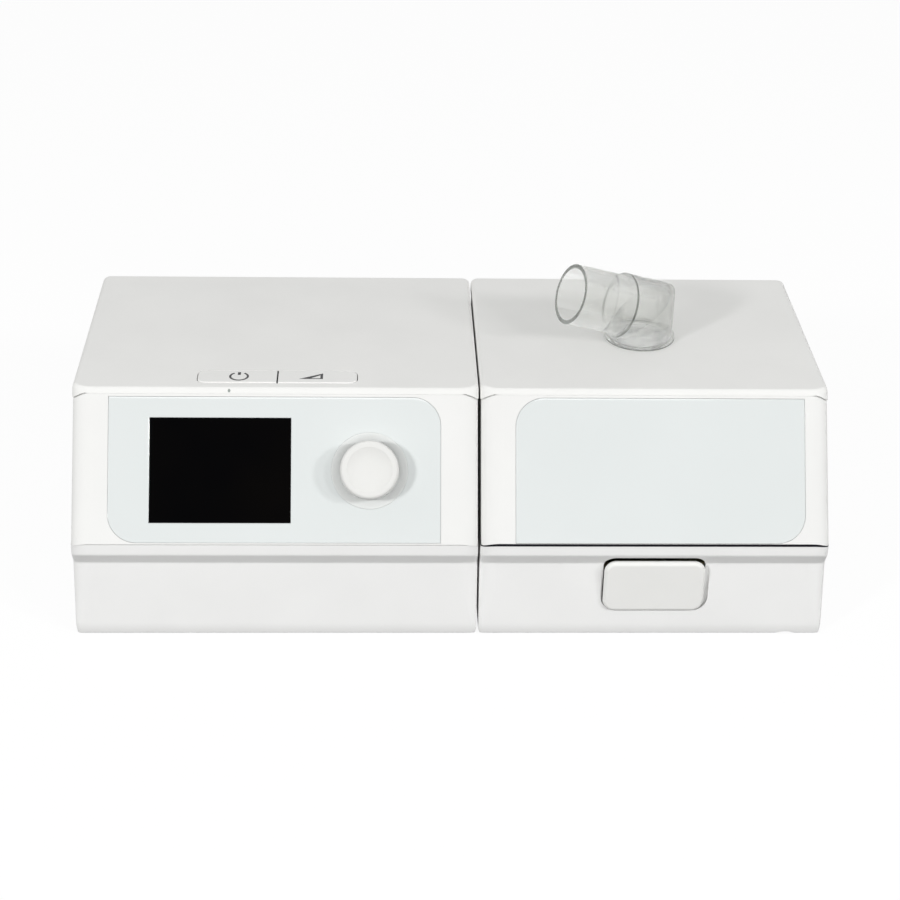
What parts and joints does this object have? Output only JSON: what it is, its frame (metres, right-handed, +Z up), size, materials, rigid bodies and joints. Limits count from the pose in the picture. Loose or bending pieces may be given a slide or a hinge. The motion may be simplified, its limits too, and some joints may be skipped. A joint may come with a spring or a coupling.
{
  "type": "cpap machine",
  "caption": "Bedside CPAP machine: a blower unit with a screen, control knob and two keys, docked to a heated humidifier with a hinged hood, water tub and clear swivel elbow.",
  "frame": {"origin": "middle of the footprint, on the surface that the machine stands on", "axes": "+X along the width from the blower unit to the humidifier, +Y from the front to the back, +Z up"},
  "size_m": [0.2656, 0.1278, 0.1149],
  "materials": {
    "shell_white": "satin white moulded plastic",
    "lid_white": "fine textured off-white moulded plastic",
    "fascia_pale": "glossy pale grey-blue panel with a printed double border line",
    "screen_black": "glossy black screen window",
    "knob_white": "satin white moulded plastic",
    "key_white": "fine textured off-white with grey printed symbols",
    "clear_plastic": "clear polycarbonate",
    "tub_clear": "clear moulded plastic",
    "rubber_grey": "soft grey silicone",
    "rubber_black": "black rubber",
    "board_green": "green circuit board",
    "part_black": "black moulded plastic",
    "duct_grey": "dark grey moulded plastic",
    "steel": "bright steel",
    "heater_metal": "brushed aluminium",
    "copper_winding": "enamelled copper windings",
    "foam_grey": "open cell acoustic foam",
    "filter_white": "white pleated filter fleece",
    "impeller_white": "natural moulded plastic",
    "lens_clear": "translucent light guide",
    "heater_tan": "heat resistant moulded plastic"
  },
  "bodies": {
    "generator": {"generator_base": "shell_white", "generator_housing": "shell_white", "generator_cover": "lid_white", "generator_fascia": "fascia_pale", "display_window": "screen_black", "display_module": "part_black", "front_board": "board_green", "knob_bezel": "knob_white", "encoder_body": "steel", "key_board": "board_green", "key_switches": "part_black", "status_lens": "lens_clear", "main_board": "board_green", "power_jack": "part_black", "blower_lower": "duct_grey", "blower_upper": "duct_grey", "motor_housing": "steel", "motor_stator": "copper_winding", "motor_bearings": "steel", "blower_mounts": "rubber_black", "outlet_coupling": "rubber_grey", "outlet_spigot": "shell_white", "inlet_muffler": "foam_grey", "dock_plug": "part_black", "dock_pins": "steel", "generator_feet": "rubber_grey", "generator_screws": "steel"},
    "knob_plunger": {"encoder_plunger": "duct_grey"},
    "knob": {"encoder_shaft": "steel", "control_knob": "knob_white"},
    "power_key": {"power_key": "key_white"},
    "ramp_key": {"ramp_key": "key_white"},
    "rotor": {"rotor_shaft": "steel", "impeller": "impeller_white"},
    "filter_door": {"filter_cover": "shell_white", "air_filter": "filter_white"},
    "humidifier": {"humidifier_base": "shell_white", "heater_carrier": "heater_tan", "heater_element": "heater_tan", "heater_plate": "heater_metal", "tub_base_plate": "steel", "tub_body": "tub_clear", "tub_gasket": "rubber_grey", "tub_lid": "tub_clear", "air_duct": "shell_white", "duct_seal": "rubber_grey", "dock_receptacle": "part_black", "latch_spring": "steel", "hinge_pins": "steel", "humidifier_feet": "rubber_grey", "humidifier_screws": "steel"},
    "latch": {"latch_button": "shell_white"},
    "hood": {"hood_housing": "shell_white", "hood_cover": "lid_white", "hood_fascia": "fascia_pale", "outlet_socket": "shell_white", "outlet_gasket": "rubber_grey"},
    "elbow": {"outlet_elbow": "clear_plastic", "elbow_o_ring": "rubber_black"}
  },
  "joints": [
    {"name": "impeller_spin", "type": "hinge", "parent": "generator", "child": "rotor", "pos_m": [-0.088, 0.0165, 0.03], "axis": [0, 0, 1], "continuous": true},
    {"name": "knob_push", "type": "slide", "parent": "generator", "child": "knob_plunger", "axis": [0, 0.8434, -0.5373], "range_m": [0, 0.0006], "stiffness_N_per_m": 2500, "springref_m": -0.0005},
    {"name": "knob_turn", "type": "hinge", "parent": "knob_plunger", "child": "knob", "pos_m": [-0.029, -0.04948, 0.05911], "axis": [0, -0.8434, 0.5373], "continuous": true},
    {"name": "power_press", "type": "slide", "parent": "generator", "child": "power_key", "axis": [0, 0, -1], "range_m": [0, 0.0005], "stiffness_N_per_m": 2000, "springref_m": -0.0005},
    {"name": "ramp_press", "type": "slide", "parent": "generator", "child": "ramp_key", "axis": [0, 0, -1], "range_m": [0, 0.0005], "stiffness_N_per_m": 2000, "springref_m": -0.0005},
    {"name": "filter_pull", "type": "slide", "parent": "generator", "child": "filter_door", "axis": [0, 1, 0], "range_m": [0, 0.015]},
    {"name": "undock_slide", "type": "slide", "parent": "generator", "child": "humidifier", "axis": [1, 0, 0], "range_m": [0, 0.025]},
    {"name": "latch_press", "type": "slide", "parent": "humidifier", "child": "latch", "axis": [0, 1, 0], "range_m": [0, 0.0025], "stiffness_N_per_m": 900, "springref_m": -0.003, "deforming": ["latch_spring"]},
    {"name": "hood_hinge", "type": "hinge", "parent": "humidifier", "child": "hood", "pos_m": [0.072, 0.0609, 0.0371], "axis": [-1, 0, 0], "range_deg": [0, 75]},
    {"name": "elbow_swivel", "type": "hinge", "parent": "hood", "child": "elbow", "pos_m": [0.0702, 0.00834, 0.08332], "axis": [0, 0, 1], "continuous": true}
  ]
}
